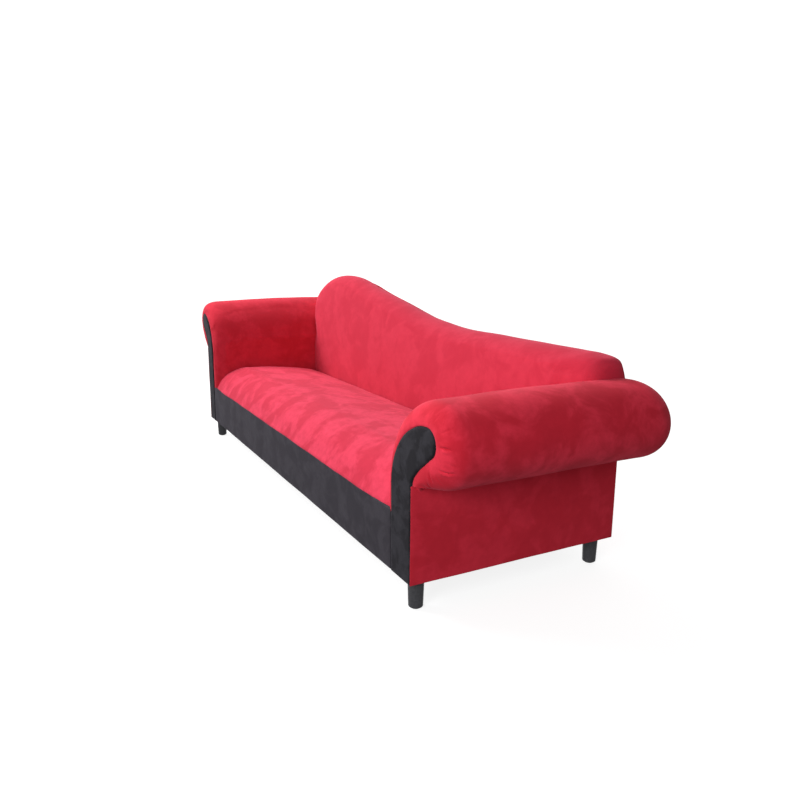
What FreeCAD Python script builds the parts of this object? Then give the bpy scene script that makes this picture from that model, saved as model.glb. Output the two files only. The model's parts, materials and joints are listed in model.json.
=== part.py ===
import FreeCAD, Part

import math
import os

import Sketcher

from FreeCAD import Rotation, Vector

# A three-seater sofa with scroll arms, a tall left arm and a back that falls from left to right.
# X runs along the sofa, the front faces -Y and the floor is at Z = 0.

doc = FreeCAD.newDocument("sofa")
sheet = doc.addObject("Spreadsheet::Sheet", "dims")

# Driving dimensions in millimetres and degrees: alias, value, meaning
driving = [
    ("base_length", 2280, "over the two outside arm panels"),
    ("base_depth", 760, "front of the arm facings to the outside back"),
    ("gap", 0.3, "clearance between soft or curved neighbours"),
    ("cloth", 2, "upholstery cloth with its backing"),
    ("card", 3, "upholstery card"),
    ("dust_cloth", 1, "cloth under the base"),
    ("leg_height", 95, "floor to the underside of the base"),
    ("leg_top_diameter", 50, "leg at the base"),
    ("leg_foot_diameter", 44, "leg at its foot"),
    ("leg_edge_radius", 4, "rounding of the foot edge"),
    ("leg_inset_side", 48, "leg centre in from the base end"),
    ("leg_inset_front", 47, "leg centre in from the front and the rear"),
    ("glide_height", 3, "plastic glide under a leg"),
    ("glide_diameter", 30, "plastic glide under a leg"),
    ("bolt_diameter", 8, "hanger bolt of a leg"),
    ("bolt_grip", 48, "bolt length inside a leg"),
    ("fit_play", 0.15, "radial play round bolts and screws"),
    ("nut_barrel_diameter", 11, "tee nut barrel"),
    ("nut_barrel_length", 14, "tee nut barrel"),
    ("nut_flange_diameter", 18, "tee nut flange"),
    ("nut_flange_thickness", 1.5, "tee nut flange"),
    ("rail_height", 150, "base rails"),
    ("rail_thickness", 30, "base rails, cross rails and arm rails"),
    ("cross_rail_height", 100, "rails under the springs"),
    ("block_side", 80, "corner block along each rail"),
    ("block_height", 40, "corner block"),
    ("ply", 15, "scroll boards of the arms"),
    ("slat", 28, "square slats of the arms"),
    ("arm_width", 150, "base end to the inside face of an arm"),
    ("right_arm_height", 642, "floor to the top of the right roll"),
    ("left_arm_height", 739, "floor to the top of the left roll"),
    ("roll_radius", 124, "arm roll"),
    ("roll_out", 68, "roll axis outside the base end"),
    ("roll_tuck", 30, "angle from the bottom of the roll to where its cover tucks in"),
    ("roll_front_depth", 62, "length in which the roll rounds into the facing"),
    ("roll_overhang", 45, "domed rear end of a roll behind the outside back"),
    ("roll_end_round", 75, "rounding of that dome, measured across the roll"),
    ("facing_width", 121, "facing below its scroll"),
    ("facing_depth", 22, "facing with its cover"),
    ("facing_cloth", 3, "facing cover with its thin padding"),
    ("facing_drop", 74, "top of the roll to the top of the facing"),
    ("bulb_radius", 45, "scroll end of the facing"),
    ("bulb_out", 83, "bulb centre outside the base end"),
    ("neck_angle", 55, "slope of the straight under the bulb, from the vertical"),
    ("neck_radius", 40, "hollow between that straight and the side"),
    ("rim_pad", 4, "cover edge round the facing"),
    ("rim_back", 12, "cover edge behind the front of the facing"),
    ("border_recess", 2, "front border behind the facings"),
    ("border_padding", 21, "padding of the front border"),
    ("seat_line", 281, "top of the front border"),
    ("seat_depth", 567, "facing front to the crease between seat and back"),
    ("seat_crease_height", 349, "seat at that crease"),
    ("seat_crown_height", 396, "top of the seat"),
    ("seat_edge_depth", 170, "front rounding of the seat"),
    ("seat_end_drop", 14, "seat lower beside the arms"),
    ("seat_end_draw", 10, "seat front drawn in beside the arms"),
    ("seat_end_length", 120, "length in which the seat falls to the arms"),
    ("wire", 3.4, "seat spring wire"),
    ("spring_width", 52, "zigzag spring over its bends"),
    ("spring_spacing", 220, "distance between springs"),
    ("clip_base", 1.5, "spring clip under the wire"),
    ("clip_wall", 1.2, "spring clip over the wire"),
    ("clip_length", 12, "spring clip along the wire"),
    ("clip_width", 18, "spring clip across the wire"),
    ("tie_wire", 2.5, "cross wires over the springs"),
    ("deck_cloth", 1.5, "cloth over the springs"),
    ("back_high", 889, "floor to the peak of the back"),
    ("back_low", 714, "floor to the level run of the back"),
    ("peak_in", 373, "peak of the back from the left end"),
    ("shoulder_radius", 529, "left shoulder of the back"),
    ("crest_radius", 1300, "rounding from the peak into the slope"),
    ("dip_radius", 1500, "rounding from the slope into the level run"),
    ("back_slope", 11, "steepest slope of the back's top"),
    ("back_rake", 5, "lean of the back's front"),
    ("back_bulge", 16, "fullness of the back's front"),
    ("back_top_rise", 45, "rounding over the back's top"),
    ("back_end_round", 55, "rounding of the back's ends"),
    ("post_width", 45, "back posts along the sofa"),
    ("post_depth", 45, "back posts front to rear"),
    ("mid_post_spacing", 680, "distance between the middle posts and between the cross rails"),
    ("top_board_height", 90, "shaped board along the back's top"),
    ("top_padding", 40, "padding over that board"),
    ("tack_rail_height", 40, "rails between the posts"),
    ("tack_rail_low", 300, "underside of those rails above the floor"),
    ("webbing", 2, "back straps"),
    ("webbing_width", 50, "back straps"),
    ("screw_diameter", 5, "frame screws"),
    ("screw_head_diameter", 10, "frame screws"),
    ("screw_length", 62, "frame screws"),
]
spring_count = 9
spring_turns = 20
strap_count = 4
front_steps = 5
foam_first_step = 3
end_steps = 4
back_steps = 18

# Shares of a whole: the seat's fall reached halfway along its crown, the back's drop within its bends
crown_fall_share = 0.25
bend_share = 0.6

for row, (alias, size, meaning) in enumerate(driving, start=1):
    sheet.set(f"A{row}", meaning)
    sheet.set(f"B{row}", str(size))
    sheet.setAlias(f"B{row}", alias)
doc.recompute()


def num(expression):
    return float(sheet.evalExpression(expression))


# Places that several pieces share, as expressions of the sheet
half = "(dims.base_length / 2)"
front = "(-(dims.base_depth + dims.roll_overhang) / 2)"
rear = f"({front} + dims.base_depth)"
frame_rear = f"({rear} - dims.cloth - dims.card)"
frame_low = "(dims.leg_height + dims.dust_cloth)"
rail_top = f"({frame_low} + dims.rail_height)"
board_front = f"({front} + dims.facing_depth)"
board_back = f"({board_front} + dims.ply)"
rear_board_front = f"({frame_rear} - dims.ply)"
facing_in = "(dims.cloth + dims.facing_width)"
board_inset = "(dims.card + dims.gap)"
board_half = f"({half} - {facing_in} + {board_inset})"
border_half = f"({half} - {facing_in} - dims.gap)"
seat_half = f"({half} - dims.arm_width - dims.gap)"
border_front = f"({front} + dims.border_recess)"
rail_front = f"({border_front} + dims.cloth + dims.border_padding)"
rail_back = f"({rail_front} + dims.rail_thickness)"
rear_rail_front = f"({frame_rear} - dims.rail_thickness)"
post_front = f"({rear_rail_front} - dims.post_depth)"
webbing_front = f"({post_front} - dims.webbing)"
wire_centre = f"({rail_top} + dims.clip_base + dims.wire / 2)"
tie_centre = f"({wire_centre} + dims.wire / 2 + dims.tie_wire / 2 + dims.gap)"
deck_low = f"({tie_centre} + dims.tie_wire / 2 + dims.gap)"
seat_base = f"({deck_low} + dims.deck_cloth + dims.gap)"
sleeve_low = "(dims.seat_line + dims.gap)"
crease = f"({front} + dims.seat_depth)"
side_frame = "(dims.cloth + dims.card)"
leg_x = f"({half} - dims.leg_inset_side)"
leg_front_y = f"({front} + dims.leg_inset_front)"
leg_rear_y = f"({rear} - dims.leg_inset_front)"
block_top = f"({frame_low} + dims.block_height)"

pieces = []


def keep(piece, name):
    piece.Label = name
    pieces.append(piece)
    return piece


def place(piece, spot):
    for axis, expression in zip("xyz", spot):
        piece.setExpression(f"Placement.Base.{axis}", expression)
    return piece


def box(name, low, size):
    piece = doc.addObject("Part::Box", name)
    for side, expression in zip(("Length", "Width", "Height"), size):
        piece.setExpression(side, expression)
    return place(piece, low)


def across(name, half_length, low_y, low_z, depth, height):
    return box(name, (f"-{half_length}", low_y, low_z), (f"2 * {half_length}", depth, height))


def cylinder(name, spot, radius, length, turn=None):
    piece = doc.addObject("Part::Cylinder", name)
    piece.setExpression("Radius", radius)
    piece.setExpression("Height", length)
    if turn:
        piece.Placement.Rotation = turn
    return place(piece, spot)


def cut(name, base, tool):
    piece = doc.addObject("Part::Cut", name)
    piece.Base = base
    piece.Tool = tool
    return piece


def group(name, links):
    piece = doc.addObject("Part::Compound", name)
    piece.Links = links
    return piece


def solid(name, shape):
    piece = doc.addObject("Part::Feature", name)
    piece.Shape = shape
    return piece


def origin_plane(body, role):
    return next(plane for plane in body.Origin.OriginFeatures if plane.Role == role)


# A closed profile of curves: two points make a line, three points an arc. The bound sizes are
# (kind, curve, point of the curve, expression).
def draw(body, role, curves, bound):
    sketch = body.newObject("Sketcher::SketchObject", f"{body.Name}_sketch")
    sketch.AttachmentSupport = [(origin_plane(body, role), "")]
    sketch.MapMode = "FlatFace"
    for curve in curves:
        corners = [Vector(x, y, 0) for x, y in curve]
        sketch.addGeometry(Part.LineSegment(*corners) if len(corners) == 2 else Part.Arc(*corners))
    for index, curve in enumerate(curves):
        following = (index + 1) % len(curves)
        joint = Vector(*curve[-1], 0)
        ends = [point_at(sketch, number, joint) for number in (index, following)]
        sketch.addConstraint(Sketcher.Constraint("Coincident", index, ends[0], following, ends[1]))
    for kind, index, point, expression in bound:
        if kind == "Radius":
            constraint = Sketcher.Constraint(kind, index, num(expression))
        else:
            constraint = Sketcher.Constraint(kind, -1, 1, index, point, num(expression))
        number = sketch.addConstraint(constraint)
        sketch.setExpression(f"Constraints[{number}]", expression)
    return sketch


def point_at(sketch, index, joint):
    return min((1, 2), key=lambda point: (sketch.getPoint(index, point) - joint).Length)


def padded(name, curves, depth, spot, bound=()):
    body = doc.addObject("PartDesign::Body", name)
    sketch = draw(body, "XZ_Plane", curves, bound)
    pad = body.newObject("PartDesign::Pad", f"{name}_pad")
    pad.Profile = sketch
    pad.Reversed = True
    pad.setExpression("Length", depth)
    sketch.Visibility = False
    return place(body, spot)


def turned(name, curves, spot, bound=(), rotation=None):
    body = doc.addObject("PartDesign::Body", name)
    sketch = draw(body, "XZ_Plane", curves, bound)
    revolution = body.newObject("PartDesign::Revolution", f"{name}_turn")
    revolution.Profile = sketch
    revolution.ReferenceAxis = (sketch, ["V_Axis"])
    revolution.Angle = 360
    if rotation:
        body.Placement.Rotation = rotation
    return place(body, spot)


def polygon(*corners):
    return [(corner, corners[(index + 1) % len(corners)]) for index, corner in enumerate(corners)]


def on_circle(centre, radius, angle):
    turn = math.radians(angle)
    return (centre[0] + radius * math.cos(turn), centre[1] + radius * math.sin(turn))


def arc(centre, radius, start, end):
    return tuple(on_circle(centre, radius, angle) for angle in (start, (start + end) / 2, end))


def backwards(curves):
    return [tuple(reversed(curve)) for curve in reversed(curves)]


def blend(low, high, share):
    return low + (high - low) * share


# The wire of curves in the plane that the function at gives: it turns a curve point into a Vector
def wire(curves, at):
    edges = []
    for curve in curves:
        corners = [at(*point) for point in curve]
        edge = Part.LineSegment(*corners) if len(corners) == 2 else Part.Arc(*corners)
        edges.append(edge.toShape())
    return Part.Wire(edges)


def lofted(sections):
    return Part.makeLoft(sections, True, False)


def ring(outer, inner):
    returning = backwards(inner)
    return outer + [(outer[-1][-1], returning[0][0])] + returning + [(returning[-1][-1], outer[0][0])]


# Arm outlines are in u, outwards from the base end, and z. The right arm has side 1, the left -1.
sides = {"left": -1, "right": 1}


def arm_height(name):
    return num(f"dims.{name}_arm_height")


def on_arm(side, y):
    return lambda u, z: Vector(side * (num(half) + u), y, z)


# The facing's scroll, drawn in by an inset: inside edge, shoulder, bulb, straight and neck
def scroll(height, inset, low):
    top = height - num("dims.facing_drop")
    bulb = (num("dims.bulb_out"), top - num("dims.bulb_radius"))
    shoulder_radius = num(f"dims.bulb_out + {facing_in}")
    shoulder = (bulb[0], top - shoulder_radius)
    fall = num("dims.neck_angle")
    side = -num("dims.cloth")
    bulb_end = on_circle(bulb, num("dims.bulb_radius"), -fall)
    neck_radius = num("dims.neck_radius")
    neck_u = side + neck_radius
    slope = math.radians(fall)
    run = (bulb_end[0] - neck_u + neck_radius * math.cos(slope)) / math.sin(slope)
    neck_z = bulb_end[1] - run * math.cos(slope) - neck_radius * math.sin(slope)
    neck = (neck_u, neck_z)
    shoulder_arc = arc(shoulder, shoulder_radius - inset, 180, 90)
    bulb_arc = arc(bulb, num("dims.bulb_radius") - inset, 90, -fall)
    neck_arc = arc(neck, neck_radius + inset, 180 - fall, 180)
    inside = ((shoulder_arc[0][0], low), shoulder_arc[0])
    return [inside, shoulder_arc, bulb_arc, (bulb_arc[-1], neck_arc[0]), neck_arc]


def closed_scroll(height, inset, low):
    curves = scroll(height, inset, low)
    foot = (curves[-1][-1][0], low)
    return curves + [(curves[-1][-1], foot), (foot, curves[0][0])]


# The padded roll: share 1 is the full roll and share 0 the rim round the facing
def roll(height, share, inset, tuck):
    top = height - num("dims.facing_drop")
    reach = num(f"dims.bulb_out + {facing_in}")
    full_reach = num("dims.arm_width + dims.roll_out")
    u = blend(num("dims.bulb_out"), num("dims.roll_out"), share)
    shoulder = (u, blend(top - reach, height - full_reach, share))
    shoulder_radius = blend(reach + num("dims.rim_pad"), full_reach, share) - inset
    centre = (u, blend(top - num("dims.bulb_radius"), height - num("dims.roll_radius"), share))
    radius = blend(num("dims.bulb_radius + dims.rim_pad"), num("dims.roll_radius"), share) - inset
    end = blend(-num("dims.neck_angle"), -90 - tuck, share)
    middle = (90 + end) / 2
    shoulder_arc = arc(shoulder, shoulder_radius, 180, 90)
    inside = ((shoulder_arc[0][0], num(sleeve_low)), shoulder_arc[0])
    return [inside, shoulder_arc, arc(centre, radius, 90, middle), arc(centre, radius, middle, end)]


# Places along the rounded front of a roll: distance back from the rim and share of the full roll
def front_rounding(first_step):
    for step in range(first_step, front_steps + 1):
        turn = math.radians(90 * step / front_steps)
        yield num("dims.roll_front_depth") * (1 - math.cos(turn)), math.sin(turn)


def arm_cover(name, side):
    height = arm_height(name)
    rim = num(f"{front} + dims.rim_back")
    tuck = num("dims.roll_tuck")

    def section(share, y):
        outer = roll(height, share, 0, tuck)
        inner = roll(height, share, num("dims.cloth"), tuck)
        return wire(ring(outer, inner), on_arm(side, y))

    sections = [section(share, rim + back) for back, share in front_rounding(0)]
    sections.append(section(1, num(frame_rear)))
    keep(solid(f"{name}_arm_cover", Part.makeLoft(sections, True, True)), f"{name}_arm_cover")


def arm_foam(name, side):
    height = arm_height(name)
    inset = num("dims.cloth + dims.gap")
    rim = num(f"{front} + dims.rim_back + dims.cloth + dims.gap")
    core = scroll(height, -num("dims.gap"), num(sleeve_low))[:4]
    straight_start, straight_end = core[3]
    core[3] = (straight_start, tuple((a + b) / 2 for a, b in zip(straight_start, straight_end)))

    def section(share, y):
        return wire(ring(roll(height, share, inset, num("dims.roll_tuck / 2")), core), on_arm(side, y))

    first = num(board_front)
    sections = [section(share, max(first, rim + back)) for back, share in front_rounding(foam_first_step)]
    sections.append(section(1, num(frame_rear)))
    keep(solid(f"{name}_arm_foam", Part.makeLoft(sections, True, True)), f"{name}_arm_foam")


def arm_liner(name, side):
    height = arm_height(name)
    low = num(sleeve_low)
    layers = ring(scroll(height, 0, low), scroll(height, num("dims.card"), low))
    profile = wire(layers, on_arm(side, num(board_front)))
    length = num(f"{frame_rear} - {board_front}")
    keep(solid(f"{name}_arm_liner", Part.Face(profile).extrude(Vector(0, length, 0))), f"{name}_arm_liner")


# A board cut to the facing's scroll, between two places along Y
def scroll_board(name, arm, inset, low, start, depth):
    side = sides[arm]
    curves = closed_scroll(arm_height(arm), num(inset), num(low))
    curves = [tuple((side * u, z) for u, z in curve) for curve in curves]
    bound = [
        ("Radius", 2, 0, f"dims.bulb_radius - {inset}"),
        ("Radius", 4, 0, f"dims.neck_radius + {inset}"),
    ]
    return padded(name, curves, depth, (f"{side} * {half}", start, "0"), bound)


def facing(name):
    cover_inside = "(dims.facing_cloth + dims.gap)"
    low = "dims.leg_height"
    outer = scroll_board(f"{name}_facing_block", name, "0", low, front, "dims.facing_depth")
    pocket_low = "(dims.leg_height + dims.facing_cloth)"
    pocket = scroll_board(
        f"{name}_facing_pocket", name, "dims.facing_cloth", pocket_low,
        f"{front} + dims.facing_cloth", "dims.facing_depth",
    )
    keep(cut(f"{name}_facing_cover", outer, pocket), f"{name}_facing_cover")
    board = scroll_board(
        f"{name}_facing_board", name, cover_inside, f"(dims.leg_height + {cover_inside})",
        f"{front} + {cover_inside}", f"dims.facing_depth - {cover_inside}",
    )
    keep(board, f"{name}_facing_board")


# A box beside the base end: u_low is its lowest u, width its size along u
def arm_box(name, side, u_low, width, low_y, depth, low_z, height):
    low_x = f"{half} + {u_low}" if side > 0 else f"-{half} - ({u_low}) - ({width})"
    return box(name, (low_x, low_y, low_z), (width, depth, height))


def arm_slats(name, side):
    height = arm_height(name)
    curves = scroll(height, num(board_inset), num(sleeve_low))
    shoulder_mid = curves[1][1]
    neck_end = curves[4][-1]
    slat = num("dims.slat")
    length = f"{rear_board_front} - {board_back}"
    # Lowest corner of each slat: in the bulb, inside the shoulder and below the neck
    bulb_drop = num("dims.facing_drop + dims.bulb_radius + dims.slat / 2")
    bulb_low = (num("dims.bulb_out - dims.slat / 2"), height - bulb_drop)
    shoulder_low = (shoulder_mid[0] + slat / 2, shoulder_mid[1] - 2 * slat)
    neck_low = (neck_end[0] - slat, neck_end[1] - slat)
    slats = []
    for index, (u, z) in enumerate((bulb_low, shoulder_low, neck_low)):
        slats.append(arm_box(
            f"{name}_slat_{index}", side, str(u), "dims.slat", board_back, length, str(z), "dims.slat",
        ))
    keep(group(f"{name}_arm_slats", slats), f"{name}_arm_slats")


def side_panels(name, side):
    neck_end = scroll(arm_height(name), 0, num(sleeve_low))[4][-1]
    height = f"{neck_end[1]} - dims.leg_height"
    cover = arm_box(
        f"{name}_side_cover", side, "-dims.cloth", "dims.cloth",
        f"{front} + dims.gap", f"{frame_rear} - {front} - dims.gap", "dims.leg_height", height,
    )
    keep(cover, f"{name}_side_cover")
    liner = arm_box(
        f"{name}_side_liner", side, f"-{side_frame}", "dims.card",
        board_front, f"{frame_rear} - {board_front}", "dims.leg_height", height,
    )
    keep(liner, f"{name}_side_liner")


# The domed rear end of a roll: a pad on the outside back with a cloth cap over it
def roll_end(name, side):
    radius = num("dims.roll_radius")
    reach = num("dims.roll_overhang")
    rounding = num("dims.roll_end_round")
    half_turn = math.sqrt(0.5)

    def dome(inset):
        rim = (radius - inset, 0)
        crown = (radius - rounding, reach - inset)
        shoulder = (radius - rounding + (rounding - inset) * half_turn, (reach - inset) * half_turn)
        return rim, shoulder, crown

    axis = f"{arm_height(name)} - dims.roll_radius"
    spot = (f"{side} * ({half} + dims.roll_out)", rear, axis)
    along = Rotation(Vector(1, 0, 0), -90)
    outer = dome(0)
    inner = dome(num("dims.cloth"))
    shell = [
        outer,
        (outer[2], (0, reach)),
        ((0, reach), (0, inner[2][1])),
        ((0, inner[2][1]), inner[2]),
        tuple(reversed(inner)),
        (inner[0], outer[0]),
    ]
    keep(turned(f"{name}_roll_end_cover", shell, spot, [("DistanceY", 1, 2, "dims.roll_overhang")], along),
         f"{name}_roll_end_cover")
    filling = dome(num("dims.cloth + dims.gap"))
    profile = [
        filling,
        (filling[2], (0, filling[2][1])),
        ((0, filling[2][1]), (0, 0)),
        ((0, 0), filling[0]),
    ]
    pad_height = ("DistanceY", 1, 2, "dims.roll_overhang - dims.cloth - dims.gap")
    keep(turned(f"{name}_roll_end_pad", profile, spot, [pad_height], along), f"{name}_roll_end_pad")


def arms():
    for name, side in sides.items():
        front_board = scroll_board(
            f"{name}_arm_front_board", name, board_inset, frame_low, board_front, "dims.ply",
        )
        keep(front_board, f"{name}_arm_front_board")
        rear_board = scroll_board(
            f"{name}_arm_rear_board", name, board_inset, frame_low, rear_board_front, "dims.ply",
        )
        keep(rear_board, f"{name}_arm_rear_board")
        arm_slats(name, side)
        arm_liner(name, side)
        arm_foam(name, side)
        arm_cover(name, side)
        facing(name)
        side_panels(name, side)
        roll_end(name, side)


def base_frame():
    length = f"{rear_board_front} - {board_back}"
    keep(across("front_rail", board_half, rail_front, frame_low, "dims.rail_thickness", "dims.rail_height"),
         "front_rail")
    for name, side in sides.items():
        rail = arm_box(
            f"{name}_end_rail", side, f"-{side_frame} - dims.rail_thickness", "dims.rail_thickness",
            board_back, length, frame_low, "dims.rail_height",
        )
        keep(rail, f"{name}_end_rail")
    seat_rails = []
    cross_rails = []
    for name, side in sides.items():
        seat_rails.append(arm_box(
            f"{name}_seat_rail", side, f"-{facing_in} + {board_inset}", "dims.rail_thickness",
            board_back, length, f"{rail_top} - dims.rail_thickness", "dims.rail_thickness",
        ))
        cross_rails.append(box(
            f"{name}_cross_rail",
            (f"{side} * dims.mid_post_spacing / 2 - dims.rail_thickness / 2", rail_back, frame_low),
            ("dims.rail_thickness", f"{post_front} - {rail_back}", "dims.cross_rail_height"),
        ))
    keep(group("arm_seat_rails", seat_rails), "arm_seat_rails")
    keep(group("seat_cross_rails", cross_rails), "seat_cross_rails")


# The four corners: name, side along X, y of the leg, y of the block's square corner, way into the sofa
corners = [
    ("front_left", -1, leg_front_y, board_back, 1),
    ("front_right", 1, leg_front_y, board_back, 1),
    ("rear_left", -1, leg_rear_y, rear_board_front, -1),
    ("rear_right", 1, leg_rear_y, rear_board_front, -1),
]


def corner_block(name, side, leg_y, corner_y, inward):
    reach = num("dims.block_side")
    body = doc.addObject("PartDesign::Body", f"corner_block_{name}")
    outline = polygon((0, 0), (-side * reach, 0), (0, inward * reach))
    sketch = draw(body, "XY_Plane", outline, [])
    pad = body.newObject("PartDesign::Pad", f"corner_block_{name}_pad")
    pad.Profile = sketch
    pad.setExpression("Length", "dims.block_height")
    spot = (f"{side} * ({half} - {side_frame} - dims.rail_thickness)", corner_y, frame_low)
    place(body, spot)
    drill = cylinder(
        f"block_drill_{name}", (f"{side} * {leg_x}", leg_y, frame_low),
        "dims.nut_barrel_diameter / 2 + dims.fit_play", "dims.block_height",
    )
    return cut(f"drilled_block_{name}", body, drill)


def leg(name, side, leg_y):
    foot = num("dims.leg_foot_diameter / 2")
    edge = num("dims.leg_edge_radius")
    top = num("dims.leg_height")
    low = num("dims.glide_height")
    bore = num("dims.bolt_diameter / 2 + dims.fit_play")
    bore_low = top - num("dims.bolt_grip")
    top_radius = num("dims.leg_top_diameter / 2")
    edge_centre = (foot - edge, low + edge)
    profile = [
        ((0, low), (foot - edge, low)),
        arc(edge_centre, edge, -90, 0),
        (on_circle(edge_centre, edge, 0), (top_radius, top)),
        ((top_radius, top), (bore, top)),
        ((bore, top), (bore, bore_low)),
        ((bore, bore_low), (0, bore_low)),
        ((0, bore_low), (0, low)),
    ]
    bound = [
        ("DistanceX", 2, 2, "dims.leg_top_diameter / 2"),
        ("DistanceY", 2, 2, "dims.leg_height"),
        ("Radius", 1, 0, "dims.leg_edge_radius"),
    ]
    keep(turned(f"leg_{name}", profile, (f"{side} * {leg_x}", leg_y, "0"), bound), f"leg_{name}")


def tee_nut(name, side, leg_y):
    barrel = num("dims.nut_barrel_diameter / 2")
    bore = num("dims.bolt_diameter / 2 + dims.fit_play")
    flange = num("dims.nut_flange_diameter / 2")
    thickness = num("dims.nut_flange_thickness")
    length = num("dims.nut_barrel_length")
    profile = polygon(
        (bore, -length), (barrel, -length), (barrel, 0),
        (flange, 0), (flange, thickness), (bore, thickness),
    )
    bound = [("DistanceX", 3, 1, "dims.nut_flange_diameter / 2")]
    return turned(f"tee_nut_{name}", profile, (f"{side} * {leg_x}", leg_y, block_top), bound)


def legs():
    blocks = []
    nuts = []
    bolts = []
    glides = []
    for name, side, leg_y, corner_y, inward in corners:
        blocks.append(corner_block(name, side, leg_y, corner_y, inward))
        leg(name, side, leg_y)
        nuts.append(tee_nut(name, side, leg_y))
        bolts.append(cylinder(
            f"leg_bolt_{name}", (f"{side} * {leg_x}", leg_y, "dims.leg_height - dims.bolt_grip"),
            "dims.bolt_diameter / 2", f"{block_top} - dims.leg_height + dims.bolt_grip",
        ))
        glides.append(cylinder(
            f"glide_{name}", (f"{side} * {leg_x}", leg_y, "0"),
            "dims.glide_diameter / 2", "dims.glide_height",
        ))
    keep(group("corner_blocks", blocks), "corner_blocks")
    keep(group("leg_tee_nuts", nuts), "leg_tee_nuts")
    keep(group("leg_bolts", bolts), "leg_bolts")
    keep(group("leg_glides", glides), "leg_glides")


def dust_cover():
    sheet_half = f"({half} - {side_frame})"
    cloth = across("dust_sheet", sheet_half, board_front, "dims.leg_height",
                   f"{frame_rear} - {board_front}", "dims.dust_cloth")
    holes = [
        cylinder(f"dust_hole_{name}", (f"{side} * {leg_x}", leg_y, "dims.leg_height"),
                 "dims.bolt_diameter / 2 + dims.fit_play", "dims.dust_cloth")
        for name, side, leg_y, corner_y, inward in corners
    ]
    keep(cut("dust_cover", cloth, group("dust_holes", holes)), "dust_cover")


def front_border():
    cover = across("front_border_cover", border_half, border_front, "dims.leg_height",
                   "dims.cloth", "dims.seat_line - dims.leg_height")
    keep(cover, "front_border_cover")
    padding = across("front_border_padding", border_half, f"{border_front} + dims.cloth", frame_low,
                     "dims.border_padding", "dims.rail_height")
    keep(padding, "front_border_padding")


# Zigzag seat springs: straight bars along X joined by half turns, one bar on each base rail
def spring(centre_x):
    start = num(f"{rail_front} + dims.rail_thickness / 2")
    end = num(f"{rear_rail_front} + dims.rail_thickness / 2")
    level = num(wire_centre)
    bend = (end - start) / spring_turns / 2
    reach = num("dims.spring_width / 2") - bend
    edges = []
    for turn in range(spring_turns + 1):
        y = start + 2 * bend * turn
        way = 1 if turn % 2 == 0 else -1
        bar_start = Vector(centre_x - way * reach, y, level)
        bar_end = Vector(centre_x + way * reach, y, level)
        edges.append(Part.LineSegment(bar_start, bar_end).toShape())
        if turn < spring_turns:
            outside = Vector(centre_x + way * (reach + bend), y + bend, level)
            next_bar = Vector(centre_x + way * reach, y + 2 * bend, level)
            edges.append(Part.Arc(bar_end, outside, next_bar).toShape())
    path = Part.Wire(edges)
    first = edges[0].Vertexes[0].Point
    profile = Part.Wire(Part.makeCircle(num("dims.wire / 2"), first, Vector(1, 0, 0)))
    return path.makePipeShell([profile], True, False)


def spring_clip(name, centre_x, rail_middle):
    block = box(
        f"clip_{name}",
        (f"{centre_x} - dims.clip_length / 2", f"{rail_middle} - dims.clip_width / 2", rail_top),
        ("dims.clip_length", "dims.clip_width", "dims.clip_base + dims.wire + dims.clip_wall"),
    )
    channel = cylinder(
        f"clip_channel_{name}", (f"{centre_x} - dims.clip_length / 2", rail_middle, wire_centre),
        "dims.wire / 2 + dims.gap", "dims.clip_length", Rotation(Vector(0, 1, 0), 90),
    )
    return cut(f"bored_clip_{name}", block, channel)


def suspension():
    springs = []
    clips = []
    for index in range(spring_count):
        centre = f"(({index} - {(spring_count - 1) / 2}) * dims.spring_spacing)"
        springs.append(spring(num(centre)))
        clips.append(spring_clip(f"front_{index}", centre, f"({rail_front} + dims.rail_thickness / 2)"))
        clips.append(spring_clip(f"rear_{index}", centre, f"({rear_rail_front} + dims.rail_thickness / 2)"))
    keep(solid("seat_springs", Part.makeCompound(springs)), "seat_springs")
    keep(group("spring_clips", clips), "spring_clips")
    ties = []
    for index in (1, 2):
        y = f"{rail_back} + ({rear_rail_front} - {rail_back}) * {index} / 3"
        ties.append(cylinder(
            f"tie_wire_{index}", (f"-{seat_half}", y, tie_centre), "dims.tie_wire / 2", f"2 * {seat_half}",
            Rotation(Vector(0, 1, 0), 90),
        ))
    keep(group("spring_tie_wires", ties), "spring_tie_wires")
    keep(across("seat_deck_cloth", seat_half, rail_front, deck_low,
                f"{post_front} - {rail_front}", "dims.deck_cloth"), "seat_deck_cloth")


# Seat sections across the sofa: rounded front, long crown, upright rear
def seat_section(x, inset, low):
    end = num(seat_half)
    fall = max(0, 1 - (end - abs(x)) / num("dims.seat_end_length")) ** 2
    crown = num("dims.seat_crown_height") - inset - fall * num("dims.seat_end_drop")
    nose = num(border_front) + inset + fall * num("dims.seat_end_draw")
    line = num("dims.seat_line")
    back = num(crease) - num("dims.gap") - inset
    rear_top = num("dims.seat_crease_height") - inset - fall * num("dims.seat_end_drop / 2")
    edge = num(f"{front} + dims.seat_edge_depth")
    half_turn = math.sqrt(0.5)
    nose_middle = (edge - (edge - nose) * half_turn, line + (crown - line) * half_turn)
    crown_middle = ((edge + back) / 2, crown - (crown - rear_top) * crown_fall_share)
    curves = [((nose, low), (nose, line))] if low < line else []
    curves += [
        ((nose, line), nose_middle, (edge, crown)),
        ((edge, crown), crown_middle, (back, rear_top)),
        ((back, rear_top), (back, low)),
        ((back, low), (nose, low)),
    ]
    return wire(curves, lambda y, z: Vector(x, y, z))


def seat_loft(inset, low):
    end = num(seat_half) - inset
    run = num("dims.seat_end_length")
    left = [seat_section(-end + run * step / end_steps, inset, low) for step in range(end_steps + 1)]
    right = [seat_section(end - run * step / end_steps, inset, low) for step in range(end_steps + 1)]
    middle = [left[-1], right[-1]]
    return lofted(left).fuse([lofted(middle), lofted(right)]).removeSplitter()


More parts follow.
